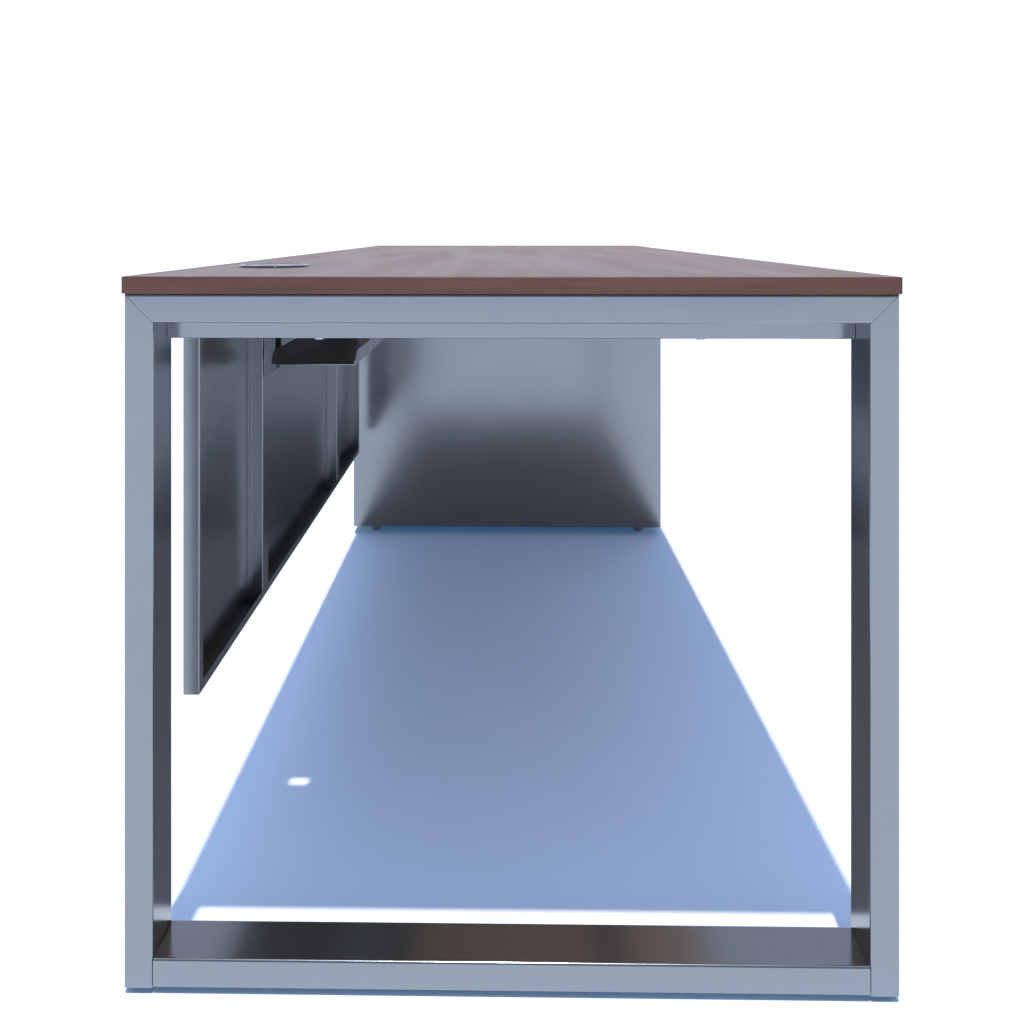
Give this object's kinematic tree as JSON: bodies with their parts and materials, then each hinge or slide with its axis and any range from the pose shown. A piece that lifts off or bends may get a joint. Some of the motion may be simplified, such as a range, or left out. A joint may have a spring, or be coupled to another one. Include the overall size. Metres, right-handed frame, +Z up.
{
  "type": "computer desk",
  "caption": "Straight desk: walnut top on a closed loop leg and a full-depth steel drawer cabinet, with modesty panel, cable tray and cable outlet.",
  "frame": {"origin": "on the floor, under the middle of the desk's footprint", "axes": "+Z up; X along the worktop, with the loop leg at -X and the drawer cabinet at +X; -Y is the user's side and +Y the modesty panel's"},
  "size_m": [1.8, 0.8, 0.7425],
  "materials": {
    "walnut_top": "satin walnut laminate, grain along the desk",
    "walnut_band": "satin walnut edge band, grain along its length",
    "frame_paint": "satin blue-grey metallic powder coat on steel tube",
    "panel_paint": "satin blue-grey metallic powder coat on folded sheet",
    "cabinet_paint": "satin blue-grey metallic powder coat on sheet steel",
    "zinc": "bright zinc plate",
    "outlet_metal": "satin metal plate",
    "cap_plastic": "fine-grained grey plastic",
    "lock_metal": "polished plate",
    "glide_plastic": "dark blue-grey moulded plastic",
    "plug_plastic": "black moulded plastic"
  },
  "bodies": {
    "desk": {"beam_user": "frame_paint", "beam_visitor": "frame_paint", "cabinet_back": "cabinet_paint", "cabinet_base": "cabinet_paint", "cabinet_bearer": "frame_paint", "cabinet_bearer_screw_user": "zinc", "cabinet_bearer_screw_visitor": "zinc", "cabinet_side_inner": "cabinet_paint", "cabinet_side_outer": "cabinet_paint", "cabinet_top": "cabinet_paint", "cable_tray": "panel_paint", "drawer_bottom_rail_left": "zinc", "drawer_bottom_rail_right": "zinc", "drawer_middle_rail_left": "zinc", "drawer_middle_rail_right": "zinc", "drawer_top_rail_left": "zinc", "drawer_top_rail_right": "zinc", "edge_band_cabinet_end": "walnut_band", "edge_band_leg_end": "walnut_band", "edge_band_user": "walnut_band", "edge_band_visitor": "walnut_band", "grommet_ring": "outlet_metal", "leg_bearer": "frame_paint", "leg_bearer_screw_user": "zinc", "leg_bearer_screw_visitor": "zinc", "leg_bottom_rail": "frame_paint", "leg_post_user": "frame_paint", "leg_post_visitor": "frame_paint", "leg_top_rail": "frame_paint", "modesty_panel": "panel_paint", "post_plug_user": "plug_plastic", "post_plug_visitor": "plug_plastic", "stiffener_far": "panel_paint", "stiffener_near": "panel_paint", "tabletop": "walnut_top", "tray_bracket_far": "panel_paint", "tray_bracket_near": "panel_paint"},
    "grommet_cap": {"grommet_cap": "cap_plastic"},
    "leg_glide_user": {"leg_glide_user": "glide_plastic"},
    "leg_glide_visitor": {"leg_glide_visitor": "glide_plastic"},
    "cabinet_glide_front_near": {"cabinet_glide_front_near": "glide_plastic"},
    "cabinet_glide_front_far": {"cabinet_glide_front_far": "glide_plastic"},
    "cabinet_glide_back_near": {"cabinet_glide_back_near": "glide_plastic"},
    "cabinet_glide_back_far": {"cabinet_glide_back_far": "glide_plastic"},
    "drawer_top": {"drawer_top_front": "cabinet_paint", "drawer_top_box": "cabinet_paint", "drawer_top_slide_left": "zinc", "drawer_top_slide_right": "zinc"},
    "drawer_middle": {"drawer_middle_front": "cabinet_paint", "drawer_middle_box": "cabinet_paint", "drawer_middle_slide_left": "zinc", "drawer_middle_slide_right": "zinc"},
    "drawer_bottom": {"drawer_bottom_front": "cabinet_paint", "drawer_bottom_box": "cabinet_paint", "drawer_bottom_slide_left": "zinc", "drawer_bottom_slide_right": "zinc"},
    "lock_barrel": {"lock_barrel": "lock_metal"}
  },
  "joints": [
    {"name": "grommet_cap_lift", "type": "slide", "parent": "desk", "child": "grommet_cap", "axis": [0, 0, 1], "range_m": [0, 0.03]},
    {"name": "leg_glide_user_screw", "type": "slide", "parent": "desk", "child": "leg_glide_user", "axis": [0, 0, -1], "range_m": [0, 0.01]},
    {"name": "leg_glide_visitor_screw", "type": "slide", "parent": "desk", "child": "leg_glide_visitor", "axis": [0, 0, -1], "range_m": [0, 0.01]},
    {"name": "cabinet_glide_front_near_screw", "type": "slide", "parent": "desk", "child": "cabinet_glide_front_near", "axis": [0, 0, -1], "range_m": [0, 0.015]},
    {"name": "cabinet_glide_front_far_screw", "type": "slide", "parent": "desk", "child": "cabinet_glide_front_far", "axis": [0, 0, -1], "range_m": [0, 0.015]},
    {"name": "cabinet_glide_back_near_screw", "type": "slide", "parent": "desk", "child": "cabinet_glide_back_near", "axis": [0, 0, -1], "range_m": [0, 0.015]},
    {"name": "cabinet_glide_back_far_screw", "type": "slide", "parent": "desk", "child": "cabinet_glide_back_far", "axis": [0, 0, -1], "range_m": [0, 0.015]},
    {"name": "drawer_top_slide", "type": "slide", "parent": "desk", "child": "drawer_top", "axis": [0, -1, 0], "range_m": [0, 0.42]},
    {"name": "drawer_middle_slide", "type": "slide", "parent": "desk", "child": "drawer_middle", "axis": [0, -1, 0], "range_m": [0, 0.42]},
    {"name": "drawer_bottom_slide", "type": "slide", "parent": "desk", "child": "drawer_bottom", "axis": [0, -1, 0], "range_m": [0, 0.42]},
    {"name": "lock_turn", "type": "hinge", "parent": "drawer_top", "child": "lock_barrel", "pos_m": [0.815, -0.398, 0.62875], "axis": [0, 1, 0], "range_deg": [0, 90]}
  ]
}
